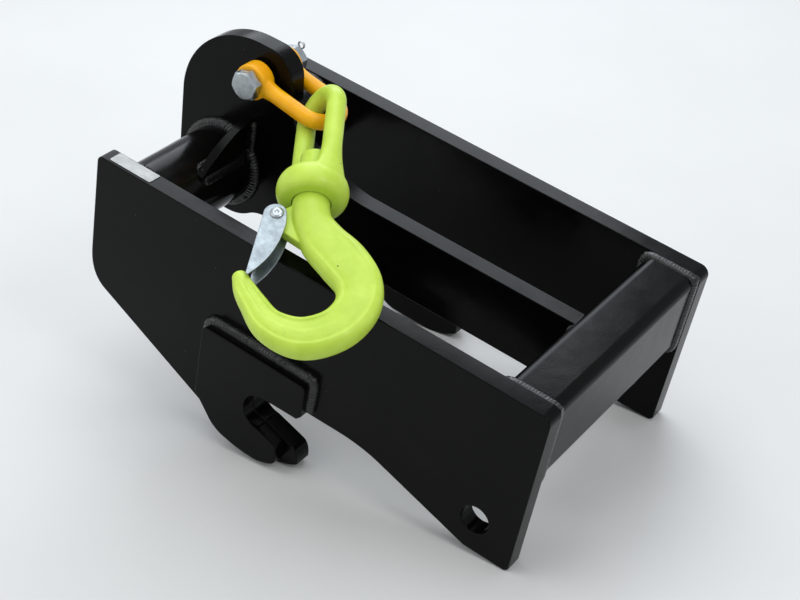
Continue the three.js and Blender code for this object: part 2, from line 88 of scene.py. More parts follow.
EAR_Y = (15, 33.5)
BOLT_R = 9.5
BOLT_END = 52
PIN_Y = 49
EYE_HALF = 26.5
COLLAR_TOP = 88
COLLAR_FOOT = 119
COLLAR_R = 37.5
NECK_R = 11
SHANK_R = 19.5
NUT_TOP = 58
NUT_R = 16.5
LATCH_PIVOT = (-31.5, -141)
LATCH_TIP = (-23.5, -76.8)      # from the rivet, as are the next three
LATCH_TOP = (-2, 11.8)          # x and radius of each cheek's round end
LATCH_BACK_END = -58            # foot of the strip that joins the cheeks
LATCH_STRIP = 2.2
LATCH_HALF = 12.5
LATCH_T = 2
LUG_HALF = 6.5
RIVET_HEAD = (6.9, 2.2)         # radius and height
SPRING = (6.4, 0.45, 7.25, 2.5, 11.0)   # coil radius, wire radius, first y, rise, turn in radians
WELD_STEP = 0.9                 # distance between stations along a bead
WELD_RIPPLE = 3.4               # length of one ripple

MM = Matrix.Scale(0.001, 4)


def axes(x, y, z, at):
    """The matrix that takes a part's own coordinates to those three directions at that place."""
    m = Matrix((x, y, z)).transposed().to_4x4()
    m.translation = at
    return m


# The plates' frame stands on claws and heels, and hangs from the shackle bolt's place in the model.
TILT = math.atan2(CLAW_FOOT[1] * -1 + HEEL_FOOT[1], HEEL_FOOT[0] - CLAW_FOOT[0])
bolt_at = Vector(next(j for j in frame["joints"] if j["name"] == "shackle_pivot")["pos_m"]) * 1000
turn = Matrix.Rotation(TILT, 4, "Y")
PLATES = Matrix.Translation(bolt_at - turn @ Vector((BOLT[0], 0, BOLT[1]))) @ turn
BOW = PLATES @ Matrix.Translation((BOLT[0], 0, BOLT[1])) @ Matrix.Rotation(math.radians(SHACKLE_DIP), 4, "Y")

down = (HOOK_REST - EYE_CENTRE).normalized()
across = (Vector((1, 0, 0)) - down * down.x).normalized()
HOOK = PLATES @ axes(across, (-down).cross(across), -down, EYE_CENTRE)
EYE = HOOK @ Matrix.Rotation(math.radians(-EYE_TURN), 4, "Z")
LATCH = HOOK @ Matrix.Translation((LATCH_PIVOT[0], 0, LATCH_PIVOT[1]))

# ---- materials ---------------------------------------------------------------------------------


class Look:
    """A procedural material: one Principled shader with its inputs made from textures in object space."""

    def __init__(self, name, metallic=0.0, **sockets):
        self.material = bpy.data.materials.new(name)
        self.material.use_nodes = True
        self.tree = self.material.node_tree
        self.shader = self.tree.nodes["Principled BSDF"]
        self.shader.inputs["Metallic"].default_value = metallic
        for socket, value in sockets.items():
            self.shader.inputs[socket.replace("_", " ")].default_value = value
        self.place = self.tree.nodes.new("ShaderNodeTexCoord").outputs["Object"]

    def node(self, kind, values=None, **settings):
        made = self.tree.nodes.new("ShaderNode" + kind)
        for key, value in settings.items():
            setattr(made, key, value)
        for key, value in (values or {}).items():
            if isinstance(value, bpy.types.NodeSocket):
                self.tree.links.new(value, made.inputs[key])
            else:
                made.inputs[key].default_value = value
        return made

    def stretched(self, x, y, z):
        return self.node("Mapping", {"Vector": self.place, "Scale": (x, y, z)}).outputs["Vector"]

    def noise(self, scale, detail=3.0, rough=0.5, place=None):
        values = {"Vector": place or self.place, "Scale": scale, "Detail": detail, "Roughness": rough}
        return self.node("TexNoise", values).outputs["Fac"]

    def spots(self, cell, size, share):
        """1 in small round spots: one spot in that share of the cells of that many metres."""
        cells = self.node("TexVoronoi", {"Vector": self.place, "Scale": 1 / cell})
        near = self.remap(cells.outputs["Distance"], size, size * 0.7, 0, 1)
        pick = self.node("SeparateColor", {"Color": cells.outputs["Color"]}).outputs["Red"]
        chosen = self.remap(pick, 1 - share, 1 - share + 0.01, 0, 1)
        return self.node("Math", {0: near, 1: chosen}, operation="MULTIPLY").outputs[0]

    def remap(self, source, low, high, to_low, to_high):
        values = {"Value": source, "From Min": low, "From Max": high, "To Min": to_low, "To Max": to_high}
        return self.node("MapRange", values).outputs["Result"]

    def ramp(self, source, *stops):
        made = self.node("ValToRGB", {"Fac": source})
        points = made.color_ramp.elements
        while len(points) < len(stops):
            points.new(0.5)
        for point, (at, colour) in zip(points, stops):
            point.position = at
            point.color = (*colour, 1)
        return made.outputs["Color"]

    def mix(self, factor, a, b):
        made = self.node("Mix", data_type="RGBA")
        for i, value in ((0, factor), (6, a), (7, b)):
            if isinstance(value, bpy.types.NodeSocket):
                self.tree.links.new(value, made.inputs[i])
            else:
                made.inputs[i].default_value = (*value, 1) if i else value
        return made.outputs[2]

    def bump(self, height, strength, distance, under=None):
        values = {"Height": height, "Strength": strength, "Distance": distance}
        if under:
            values["Normal"] = under
        return self.node("Bump", values).outputs["Normal"]

    def use(self, **sources):
        for socket, source in sources.items():
            self.tree.links.new(source, self.shader.inputs[socket.replace("_", " ")])
        return self.material


def black_paint():
    look = Look("black_gloss_paint", Specular_IOR_Level=0.1)
    cloud = look.noise(9, 4, 0.6)
    dust = look.remap(look.noise(38, 8, 0.7), 0.60, 0.82, 0, 0.4)
    streak = look.remap(look.noise(6, 5, 0.6, look.stretched(1, 9, 1)), 0.64, 0.84, 0, 0.25)
    deep = look.ramp(cloud, (0.3, (0.0014, 0.0014, 0.0015)), (0.75, (0.0032, 0.0030, 0.0026)))
    dusty = look.mix(dust, deep, (0.010, 0.009, 0.007))
    scuffed = look.mix(streak, dusty, (0.012, 0.011, 0.008))
    specked = look.mix(look.spots(0.012, 0.05, 0.1), scuffed, (0.09, 0.088, 0.082))
    rough = look.remap(look.noise(26, 6, 0.65), 0.3, 0.75, 0.10, 0.26)
    peel = look.bump(look.noise(420, 2), 0.10, 0.0004)
    waves = look.bump(look.noise(24, 2), 0.10, 0.002, peel)
    return look.use(Base_Color=specked, Roughness=rough, Normal=waves)


def painted_weld():
    look = Look("black_gloss_weld_paint", Specular_IOR_Level=0.55)
    spatter = look.noise(620, 6, 0.7)
    deep = look.ramp(spatter, (0.45, (0.003, 0.003, 0.003)), (0.85, (0.02, 0.02, 0.018)))
    rough = look.remap(look.noise(150, 3), 0.3, 0.7, 0.06, 0.2)
    grains = look.bump(spatter, 0.5, 0.0006)
    folds = look.bump(look.noise(190, 3), 0.5, 0.0012, grains)
    return look.use(Base_Color=deep, Roughness=rough, Normal=folds)


def green_coat():
    look = Look("green_powder_coat", Specular_IOR_Level=0.4)
    tone = look.noise(26, 4, 0.6)
    base = look.ramp(tone, (0.3, (0.44, 0.62, 0.048)), (0.7, (0.56, 0.75, 0.090)))
    grime = look.remap(look.noise(90, 8, 0.75), 0.60, 0.80, 0, 0.5)
    soiled = look.mix(grime, base, (0.25, 0.34, 0.02))
    chipped = look.mix(look.spots(0.016, 0.06, 0.16), soiled, (0.018, 0.02, 0.012))
    rough = look.remap(look.noise(60, 5), 0.3, 0.7, 0.30, 0.48)
    peel = look.bump(look.noise(520, 2), 0.16, 0.0005)
    forged = look.bump(look.noise(70, 4, 0.6), 0.22, 0.0012, peel)
    return look.use(Base_Color=chipped, Roughness=rough, Normal=forged)


def orange_paint():
    look = Look("orange_enamel", Specular_IOR_Level=0.3)
    tone = look.noise(40, 4, 0.6)
    base = look.ramp(tone, (0.3, (0.83, 0.35, 0.002)), (0.7, (0.93, 0.47, 0.006)))
    grime = look.remap(look.noise(120, 8, 0.75), 0.64, 0.8, 0, 0.6)
    soiled = look.mix(grime, base, (0.28, 0.10, 0.006))
    chipped = look.mix(look.spots(0.012, 0.06, 0.12), soiled, (0.03, 0.02, 0.012))
    rough = look.remap(look.noise(70, 5), 0.3, 0.7, 0.24, 0.42)
    peel = look.bump(look.noise(480, 2), 0.14, 0.0005)
    forged = look.bump(look.noise(110, 3), 0.22, 0.0009, peel)
    return look.use(Base_Color=chipped, Roughness=rough, Normal=forged)


def metal(name, dark, light, rough, grain=(1, 1, 1), lumps=0.12):
    look = Look(name, metallic=1.0)
    brushed = look.noise(240, 4, 0.6, look.stretched(*grain))
    cloud = look.noise(75, 5, 0.65)
    colour = look.ramp(cloud, (0.3, dark), (0.72, light))
    stained = look.mix(look.remap(look.noise(160, 6, 0.7), 0.6, 0.8, 0, 0.35), colour, dark)
    roughness = look.remap(brushed, 0.3, 0.7, rough[0], rough[1])
    lines = look.bump(brushed, 0.08, 0.0002)
    lumpy = look.bump(cloud, lumps, 0.0006, lines)
    return look.use(Base_Color=stained, Roughness=roughness, Normal=lumpy)


def label_foil():
    look = Look("plain_label_foil", metallic=0.2, Specular_IOR_Level=0.4)
    crinkle = look.noise(130, 4, 0.6)
    base = look.ramp(look.noise(60, 5), (0.3, (0.30, 0.31, 0.31)), (0.7, (0.44, 0.44, 0.42)))
    worn = look.mix(look.remap(look.noise(300, 6, 0.7), 0.58, 0.75, 0, 0.6), base, (0.24, 0.24, 0.23))
    rough = look.remap(crinkle, 0.3, 0.7, 0.26, 0.5)
    return look.use(Base_Color=worn, Roughness=rough, Normal=look.bump(crinkle, 0.3, 0.0004))


BLACK = black_paint()
WELD = painted_weld()
GREEN = green_coat()
ORANGE = orange_paint()
ZINC = metal("zinc_plate", (0.34, 0.36, 0.37), (0.60, 0.66, 0.69), (0.24, 0.42), (1, 1, 0.15))
PRESSED = metal("zinc_plate_pressed", (0.24, 0.27, 0.29), (0.44, 0.50, 0.53), (0.40, 0.56), (1, 1, 0.15))
BRONZE = metal("bearing_bronze", (0.40, 0.24, 0.10), (0.66, 0.45, 0.20), (0.25, 0.45))
SPRING_STEEL = metal("spring_steel", (0.16, 0.16, 0.17), (0.34, 0.34, 0.36), (0.25, 0.45))
FOIL = label_foil()

# ---- mesh tools --------------------------------------------------------------------------------


def piece(name, bm, basis, body, look, replaces=(), crease=35):
    """A finished piece from a bmesh in its part's own millimetres."""
    bmesh.ops.recalc_face_normals(bm, faces=bm.faces)
    mesh = bpy.data.meshes.new(name)
    bm.to_mesh(mesh)
    bm.free()
    mesh.transform(MM @ basis)
    mesh.polygons.foreach_set("use_smooth", [True] * len(mesh.polygons))
    mesh.set_sharp_from_angle(angle=math.radians(crease))
    mesh.materials.append(look)
    obj = bpy.data.objects.new(name, mesh)
    bpy.context.scene.collection.objects.link(obj)
    even = obj.modifiers.new("even_normals", "WEIGHTED_NORMAL")
    even.keep_sharp = True
    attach(obj, body)
    if replaces:
        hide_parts(*replaces)
    return obj


def loft(rings, closed=False):
    """A solid through rings of the same number of points, with its two ends capped unless it is closed."""
    bm = bmesh.new()
    made = [[bm.verts.new(p) for p in ring] for ring in rings]
    n = len(rings[0])
    for i in range(len(made) if closed else len(made) - 1):
        a = made[i]
        b = made[(i + 1) % len(made)]
        for k in range(n):
            bm.faces.new((a[k], a[(k + 1) % n], b[(k + 1) % n], b[k]))
    if not closed:
        for ring in (made[0], made[-1]):
            middle = bm.verts.new(sum((v.co for v in ring), Vector()) / n)
            for k in range(n):
                bm.faces.new((ring[k], ring[(k + 1) % n], middle))
    bmesh.ops.recalc_face_normals(bm, faces=bm.faces)
    return bm


def joined(*parts):
    """One bmesh that holds several, which may overlap."""
    whole = bmesh.new()
    for bm in parts:
        mesh = bpy.data.meshes.new("part")
        bm.to_mesh(mesh)
        bm.free()
        whole.from_mesh(mesh)
        bpy.data.meshes.remove(mesh)
    return whole


def forged(bm, voxel, smooth, cutters=()):
    """The outer skin of overlapping solids as one smooth body, with the cutters then taken away."""
    def temporary(source):
        mesh = bpy.data.meshes.new("temporary")
        bmesh.ops.recalc_face_normals(source, faces=source.faces)
        source.to_mesh(mesh)
        source.free()
        obj = bpy.data.objects.new("temporary", mesh)
        bpy.context.scene.collection.objects.link(obj)
        return obj

    body = temporary(bm)
    skin = body.modifiers.new("skin", "REMESH")
    skin.mode = "VOXEL"
    skin.voxel_size = voxel
    soften = body.modifiers.new("soften", "SMOOTH")
    soften.factor = 0.5
    soften.iterations = smooth
    tools = [temporary(cutter) for cutter in cutters]
    for tool in tools:
        cut = body.modifiers.new("cut", "BOOLEAN")
        cut.operation = "DIFFERENCE"
        cut.solver = "EXACT"
        cut.object = tool
    bpy.context.view_layer.update()
    made = bmesh.new()
    evaluated = body.evaluated_get(bpy.context.evaluated_depsgraph_get())
    made.from_mesh(evaluated.to_mesh())
    evaluated.to_mesh_clear()
    for obj in (body, *tools):
        mesh = obj.data
        bpy.data.objects.remove(obj)
        bpy.data.meshes.remove(mesh)
    return made


def along(points, radius, normal, sides=20, closed=False):
    """A round or oval bar along points that lie near a plane with that normal. radius: one number, or one
    pair for each point, in the plane and square to it."""
    rings = []
    n = len(points)
    for i, p in enumerate(points):
        before = points[i - 1] if closed or i else p
        after = points[(i + 1) % n] if closed or i < n - 1 else p
        tangent = (after - before).normalized()
        side = tangent.cross(normal).normalized()
        up = side.cross(tangent)
        flat, tall = radius[i] if isinstance(radius, list) else (radius, radius)
        turns = [2 * math.pi * k / sides for k in range(sides)]
        rings.append([p + side * flat * math.cos(a) + up * tall * math.sin(a) for a in turns])
    return loft(rings, closed)


def turned(profile, axis, sides=48, closed=False):
    """A body of revolution from (radius, height) points, about the part's Y or Z axis. Each radius may also
    be a function of the angle."""
    rings = []
    for radius, height in profile:
        ring = []
        for k in range(sides):
            a = 2 * math.pi * k / sides
            r = radius(a) if callable(radius) else radius
            x, y = r * math.cos(a), r * math.sin(a)
            ring.append(Vector((x, height, y) if axis == "Y" else (x, y, height)))
        rings.append(ring)
    return loft(rings, closed)


class Outline:
    """A closed line in X and Z, drawn from straights, arcs and curves."""

    def __init__(self, x, z):
        self.points = [Vector((x, z))]

    def line(self, x, z):
        self.points.append(Vector((x, z)))
        return self

    def arc(self, x, z, r, start, end, step=3.5):
        n = max(4, round(abs(end - start) / step))
        for k in range(n + 1):
            a = math.radians(start + (end - start) * k / n)
            self.points.append(Vector((x + r * math.cos(a), z + r * math.sin(a))))
        return self

    def bend(self, *controls, n=14):
        """A Bezier curve from the last point through one or two controls to the last of them."""
        line = [self.points[-1], *(Vector(c) for c in controls)]
        for k in range(1, n + 1):
            level = line
            while len(level) > 1:
                level = [a.lerp(b, k / n) for a, b in zip(level, level[1:])]
            self.points.append(level[0])
        return self

    def loop(self, hole=False):
        apart = []
        for p in self.points:
            if not apart or (p - apart[-1]).length > 0.05:
                apart.append(p)
        if (apart[0] - apart[-1]).length < 0.05:
            apart.pop()
        area = sum(a.x * b.y - b.x * a.y for a, b in zip(apart, apart[1:] + apart[:1]))
        return apart[::-1] if (area > 0) == hole else apart


def inward(loop):
    """For each corner of a loop, the step that moves both its sides one millimetre into the material."""
    steps = []
    for i, p in enumerate(loop):
        one = (p - loop[i - 1]).normalized()
        two = (loop[(i + 1) % len(loop)] - p).normalized()
        n1, n2 = Vector((-one.y, one.x)), Vector((-two.y, two.x))
        steps.append((n1 + n2) / max(1 + n1.dot(n2), 0.4))
    return steps


def plate(loops, y0, y1, edge=1.1, steps=3):
    """A plate between two heights in Y with rounded edges. The first loop is its rim, the others holes."""
    quarter = [math.pi / 2 * k / steps for k in range(steps + 1)] if edge else [math.pi / 2]
    levels = [(y0 + edge * (1 - math.cos(a)), edge * (1 - math.sin(a))) for a in quarter]
    levels += [(y0 + y1 - y, inset) for y, inset in reversed(levels)]
    bm = bmesh.new()
    made = []
    for y, inset in levels:
        rings = [[p + s * inset for p, s in zip(loop, inward(loop))] for loop in loops]
        made.append([[bm.verts.new((p.x, y, p.y)) for p in ring] for ring in rings])
    for low, high in zip(made, made[1:]):
        for a, b in zip(low, high):
            n = len(a)
            for k in range(n):
                bm.faces.new((a[k], a[(k + 1) % n], b[(k + 1) % n], b[k]))
    for level in (made[0], made[-1]):
        flat = [v for ring in level for v in ring]
        for tri in tessellate_polygon([[Vector((v.co.x, v.co.z, 0)) for v in ring] for ring in level]):
            bm.faces.new([flat[k] for k in tri])
    return bm


def mirrored(bm):
    bmesh.ops.scale(bm, vec=(1, -1, 1), verts=bm.verts)
    return bm


# ---- cut plates --------------------------------------------------------------------------------


def claw_seat(outline):
    x, z, r = PIN
    return outline.line(x, z + r).arc(x, z, r, 90, 270)


def side_plate_loops():
    rim = Outline(0, -7).arc(7, -7, 7, 180, 90).arc(LENGTH - 11, -11, 10.98, 90, 0)
    rim.line(LENGTH, -205).line(565, -209).line(515, -209).line(406, -174.3)
    rim.bend((380, -165.5), (350, -165.5))
    claw_seat(rim).line(296, -223)
    rim.bend((305, -227), (305, -243.5)).bend((300, -248), (285, -254.2)).line(*CLAW_FOOT)
    rim.bend((268, -259), (262, -259)).line(215, -259).bend((207, -258), (200, -254))
    rim.line(22, -168).bend((0, -157.5), (0, -122))
    return [rim.loop(), Outline(LOCK[0] + LOCK[2], LOCK[1]).arc(*LOCK, 0, 360).loop(hole=True)]


def cheek_loop():
    rim = Outline(172, -212).arc(180, -128, 8, 180, 90).arc(303.5, -126, 6, 90, 0)
    rim.line(309.5, -160).line(304.7, -165.5)
    claw_seat(rim).line(284, -219.3)
    rim.bend((288.5, -230), (286, -243)).bend((283, -249), (263, -254.5))
    rim.bend((241, -256.5), (216, -250.4)).bend((201, -246.5), (193, -236))
    return rim.loop()


def eye_plate_loops():
    end = TUBE[0] - GAP
    rim = Outline(-14, -88).arc(78, 15.8, 97, 180, 90, 2).arc(94, 81.4, 31.4, 90, 0)
    rim.line(127.5, 64).bend((132, 38), (150, 3), (196, -5)).bend((216, -12.5), (238, WEB[0]))
    rim.line(end, WEB[0]).line(end, WEB[1]).line(122, WEB[1])
    rim.bend((102, WEB[1]), (92, -103)).bend((78, EYE_PLATE_FOOT), (60, EYE_PLATE_FOOT))
    rim.line(12, EYE_PLATE_FOOT)
    rim.arc(12, -88, 25.96, 270, 180)       # a hair inside the CAD's faceted corner
    hole = Outline(BOLT[0] + BOLT_HOLE_R, BOLT[1]).arc(*BOLT, BOLT_HOLE_R, 0, 360)
    return [rim.loop(), hole.loop(hole=True)]


def tube_loop(inset=0.0, hole=False):
    x0, x1, z0, z1 = TUBE
    r = TUBE_R - inset
    rim = Outline(x1 - inset, z1 - TUBE_R).arc(x1 - TUBE_R, z1 - TUBE_R, r, 0, 90)
    rim.arc(x0 + TUBE_R, z1 - TUBE_R, r, 90, 180).arc(x0 + TUBE_R, z0 + TUBE_R, r, 180, 270)
    rim.arc(x1 - TUBE_R, z0 + TUBE_R, r, 270, 360)
    return rim.loop(hole)


def gusset():
    """A plate in Y and Z that stands on the pipe, its foot following the pipe's curve."""
    toe = PIPE[1] + PIPE[2] * 0.6 + 6
    end = EYE_FACE + GUSSET_REACH
    rim = Outline(EYE_FACE + GAP, GUSSET_TOP)
    rim.bend((EYE_FACE + GUSSET_REACH / 2, (GUSSET_TOP + toe) / 2 + GUSSET_ARCH), (end, toe))
    rim.line(end, PIPE[1]).line(EYE_FACE + GAP, PIPE[1])
    bm = plate([rim.loop()], *GUSSET_X, edge=0.8)
    for v in bm.verts:
        y, x, z = v.co
        foot = PIPE[1] + math.sqrt(PIPE[2] ** 2 - (x - PIPE[0]) ** 2) - 1
        v.co = (x, y, max(z, foot))
    return bm


def on_frame(name, bm, replaces=(), look=BLACK):
    return piece(name, bm, PLATES, "frame", look, replaces)


SIDE_LOOPS = side_plate_loops()
PIPE_BORE = PIPE[2] - PIPE_WALL
PIPE_LOOPS = [
    Outline(PIPE[0] + PIPE[2], PIPE[1]).arc(*PIPE, 0, 360, 3).loop(),
    Outline(PIPE[0] + PIPE_BORE, PIPE[1]).arc(*PIPE[:2], PIPE_BORE, 0, 360, 3).loop(hole=True),
]
for side, sign in (("near", -1), ("far", 1)):
    def between(y0, y1):
        return sorted((sign * y0, sign * y1))

    on_frame(side + "_side_plate_cut", plate(SIDE_LOOPS, *between(INNER, HALF)), [side + "_side_plate"])
    cheek = plate([cheek_loop()], *between(HALF + GAP, HALF + CHEEK_T))
    on_frame(side + "_claw_cheek_cut", cheek, [side + "_claw_cheek"])
    pipe = plate(PIPE_LOOPS, *between(EYE_FACE + GAP, INNER - GAP), edge=0)
    on_frame(side + "_front_pipe_turned", pipe, [side + "_front_pipe"])
    bracket = gusset() if sign > 0 else mirrored(gusset())
    on_frame(side + "_gusset_cut", bracket, [side + "_gusset"])
on_frame("eye_plate_cut", plate(eye_plate_loops(), -EYE_FACE, EYE_FACE), ["eye_plate"])
tube_walls = [tube_loop(), tube_loop(TUBE_WALL, hole=True)]
on_frame("rear_tube_rolled", plate(tube_walls, -INNER + GAP, INNER - GAP, edge=0), ["rear_cross_tube"])

# ---- weld beads --------------------------------------------------------------------------------


def evenly(path, step):
    """(point, a, b) stations at an even distance along a path of such stations."""
    out = []
    carry = 0.0
    for (p, a, b), (q, c, d) in zip(path, path[1:]):
        length = (q - p).length
        while carry < length:
            t = carry / length
            out.append((p.lerp(q, t), a.lerp(c, t), b.lerp(d, t)))
            carry += step
        carry -= length
    return out


def weld(name, path, legs, closed=False):
    """A rippled fillet along stations of (root, direction on one face, direction on the other). legs gives
    the two leg lengths at a root."""
    stations = evenly(path + path[:1] if closed else path, WELD_STEP)
    ripple_at = random.random()
    rings = []
    n = len(stations)
    for i, (root, a, b) in enumerate(stations):
        leg_a, leg_b = legs(root)
        ripple_at += WELD_STEP / WELD_RIPPLE * random.uniform(0.75, 1.25)
        swell = 1 + 0.22 * abs(math.sin(math.pi * ripple_at)) + random.uniform(-0.012, 0.012)
        end = 1.0 if closed else min(1.0, math.sqrt(max(0.02, min(i, n - 1 - i) / 5)))
        a = a.normalized()
        b = b.normalized()
        ring = [root - (a + b) * 0.6, root + a * leg_a * end - b * 0.6]
        for k in range(9):
            s = k / 8
            out = 0.14 * (leg_a + leg_b) * math.sin(math.pi * s) * swell
            flank = a * leg_a * (1 - s) + b * leg_b * s + (a + b) * 0.707 * out
            ring.append(root + flank * end * (1 + 0.3 * (swell - 1)))
        ring.append(root + b * leg_b * end - a * 0.6)
        rings.append(ring)
    on_frame(name, loft(rings, closed), look=WELD)


def around(loop, y, along_y):
    """Stations round a loop at one height: one leg runs outward on the plate there, the other along Y."""
    outward = [-s for s in inward(loop)]
    up = Vector((0, along_y, 0))
    return [(Vector((p.x, y, p.y)), Vector((o.x, 0, o.y)), up) for p, o in zip(loop, outward)]


def tube_legs(root):
    """The fillet stays under the side plate's top edge and inside its end."""
    return max(1.5, min(8, -0.6 - root.z, 568.2 - root.x)), 8


PIPE_RIM = PIPE_LOOPS[0]
CHEEK_RIM = cheek_loop()
# The cheek's weld starts at the claw tip, runs back round its heel and over its top to the upper jaw.
tip_at = min(range(len(CHEEK_RIM)), key=lambda i: (CHEEK_RIM[i] - Vector((284, -246))).length)
jaw_at = min(range(len(CHEEK_RIM)), key=lambda i: (CHEEK_RIM[i] - Vector((309.5, -160))).length)
for side, sign in (("near", -1), ("far", 1)):
    at_eye = around(PIPE_RIM, sign * EYE_FACE, sign)
    weld(side + "_pipe_weld_at_eye_plate", at_eye, lambda r: (8.5, 7.5), True)
    at_side = around(PIPE_RIM, sign * INNER, -sign)
    weld(side + "_pipe_weld_at_side_plate", at_side, lambda r: (8, 7), True)
    weld(side + "_tube_weld", around(tube_loop(), sign * INNER, -sign), tube_legs, True)

    stations = around(CHEEK_RIM, sign * HALF, sign)
    order = [(tip_at - k) % len(stations) for k in range(len(stations))]
    run = [stations[i] for i in order[: order.index(jaw_at) + 1]]
    if len(run) > len(stations) / 2 + 40 or not any(s[0].x < 180 for s in run):
        order = [(tip_at + k) % len(stations) for k in range(len(stations))]
        run = [stations[i] for i in order[: order.index(jaw_at) + 1]]
    weld(side + "_claw_cheek_weld", run, lambda r: (3.5, 5) if r.z < -236 else (7.5, 7.5))

    down_web = [(Vector((TUBE[0] - GAP, sign * EYE_FACE, z)), Vector((0, sign, 0)), Vector((-1, 0, 0)))
                for z in (-15, -94)]
    weld(side + "_web_weld", down_web, lambda r: (6, 6))
    for x, away, tag in ((GUSSET_X[0], -1, "front"), (GUSSET_X[1], 1, "back")):
        foot = PIPE[1] + math.sqrt(PIPE[2] ** 2 - (x - PIPE[0]) ** 2)
        face = [(Vector((x, sign * EYE_FACE, z)), Vector((away, 0, 0)), Vector((0, sign, 0)))
                for z in (foot + 4, 18)]
        weld(f"{side}_gusset_{tag}_weld", face, lambda r: (5, 5))
        slope = Vector((foot - PIPE[1], 0, -(x - PIPE[0]))).normalized() * away
        base = [(Vector((x, sign * y, foot)), slope, Vector((0, 0, 1))) for y in (EYE_FACE + 8, 90)]
        weld(f"{side}_gusset_{tag}_foot_weld", base, lambda r: (5, 5))

# ---- label -------------------------------------------------------------------------------------

label = Outline(16, -164).line(68, -164).arc(68, -162, 2, 270, 360).arc(68, -149, 2, 0, 90)
label.arc(16, -149, 2, 90, 180).arc(16, -162, 2, 180, 270)
sheet = plate([label.loop()], GAP, GAP + 0.6, edge=0.2, steps=2)
for v in sheet.verts:
    v.co = (v.co.x, v.co.z, v.co.y)
piece("plain_label", sheet, PLATES, "frame", FOIL, ["type_label"])

# ---- shackle -----------------------------------------------------------------------------------

bow_line = []
for k in range(30):
    bow_line.append(Vector((13 + (BOW_LEG - 13) * k / 30, -BOW_HALF, 0)))
for k in range(49):
    a = math.pi * (k / 48 - 0.5)
    bow_line.append(Vector((BOW_LEG + BOW_HALF * math.cos(a), BOW_HALF * math.sin(a), 0)))
for k in range(29, -1, -1):
    bow_line.append(Vector((13 + (BOW_LEG - 13) * k / 30, BOW_HALF, 0)))


def bow_section(p):
    """The bar, with its roots spread as they run into the ears."""
    spread = max(0.0, 1 - (p.x - 13) / 20) ** 2 if p.x < 33 else 0.0
    return BAR_R, BAR_R + 5 * spread


ears = []
for sign in (-1, 1):
    y0, y1 = (sign * EAR_Y[0], sign * EAR_Y[1])
    rim = [(BOLT_R + GAP, y0), (EAR_R - 2, y0), (EAR_R - 0.5, y0 + sign * 0.6), (EAR_R, y0 + sign * 2.4)]
    rim += [(EAR_R, y1 - sign * 2.4), (EAR_R - 0.5, y1 - sign * 0.6), (EAR_R - 2, y1), (BOLT_R + GAP, y1)]
    ears.append(turned(rim, "Y", 72, closed=True))
bow = along(bow_line, [bow_section(p) for p in bow_line], Vector((0, 0, 1)), 28)
bow = forged(joined(bow, *ears), 0.8, 5)
piece("shackle_bow_forged", bow, BOW, "shackle", ORANGE, ["shackle_bow"], 60)


def hexagon(flats, cap):
    """The radius of a hexagon at an angle, no more than the cap."""
    def radius(a):
        off = (math.degrees(a) + 30) % 60 - 30
        return min(flats / 2 / math.cos(math.radians(off)), cap)
    return radius


def chamfered_hex(flats, y0, y1, sides_rounded):
    """Levels of a hexagonal head from y0 to y1 with the corners turned off at one or both ends."""
    corner = flats / math.sqrt(3)
    depth = (corner - flats / 2 * 0.95) * math.tan(math.radians(30))
    steps = [k / 6 for k in range(7)]
    away = 1 if y1 > y0 else -1
    low = [(flats / 2 * 0.95 + s * (corner - flats / 2 * 0.95), y0 + away * depth * s) for s in steps]
    high = [(r, y0 + y1 - y) for r, y in reversed(low)]
    levels = (low if sides_rounded == 2 else [(corner, y0)]) + high
    return [(hexagon(flats, r + 0.01), y) for r, y in levels]


def threaded(y0, y1, r, pitch=2.0, depth=0.6):
    """Levels of a thread between two heights, with its end tapered."""
    levels = []
    n = round((y1 - y0) / 0.2)
    for i in range(n + 1):
        y = y0 + (y1 - y0) * i / n
        taper = min(0.0, (y1 - y) - 1.6)

        def radius(a, y=y, taper=taper):
            wave = abs(((y / pitch + a / (2 * math.pi)) % 1) * 2 - 1)
            return r - depth * wave + taper * 0.8
        levels.append((radius, y))
    return levels


head_y = -(EAR_Y[1] + GAP)
nut_y = EAR_Y[1] + GAP
stem = [(BOLT_R, head_y + 0.1), (BOLT_R, nut_y + 8)] + threaded(nut_y + 8.2, BOLT_END, BOLT_R)
bolt = joined(turned(stem, "Y", 96), turned(chamfered_hex(30, head_y, head_y - 11, 1), "Y", 96))
piece("shackle_bolt_turned", bolt, BOW, "shackle", ZINC, ["shackle_bolt"], 28)
nut_levels = chamfered_hex(30, nut_y, nut_y + 13, 2)
nut_levels += [(BOLT_R + 1, nut_y + 13), (BOLT_R + GAP, nut_y + 12.2)]
nut_levels += [(BOLT_R + GAP, nut_y + 0.8), (BOLT_R + 1, nut_y)]
nut = turned(nut_levels, "Y", 96, closed=True)
piece("shackle_nut_turned", nut, BOW, "shackle", ZINC, ["shackle_nut"], 28)


def smooth_line(points, per_span):
    """A smooth line through the points."""
    ends = [points[0] * 2 - points[1], *points, points[-1] * 2 - points[-2]]
    out = []
    for p0, p1, p2, p3 in zip(ends, ends[1:], ends[2:], ends[3:]):
        for k in range(per_span):
            t = k / per_span
            out.append(0.5 * (2 * p1 + (p2 - p0) * t + (2 * p0 - 5 * p1 + 4 * p2 - p3) * t ** 2
                              + (3 * p1 - p0 - 3 * p2 + p3) * t ** 3))
    out.append(points[-1])
    return out


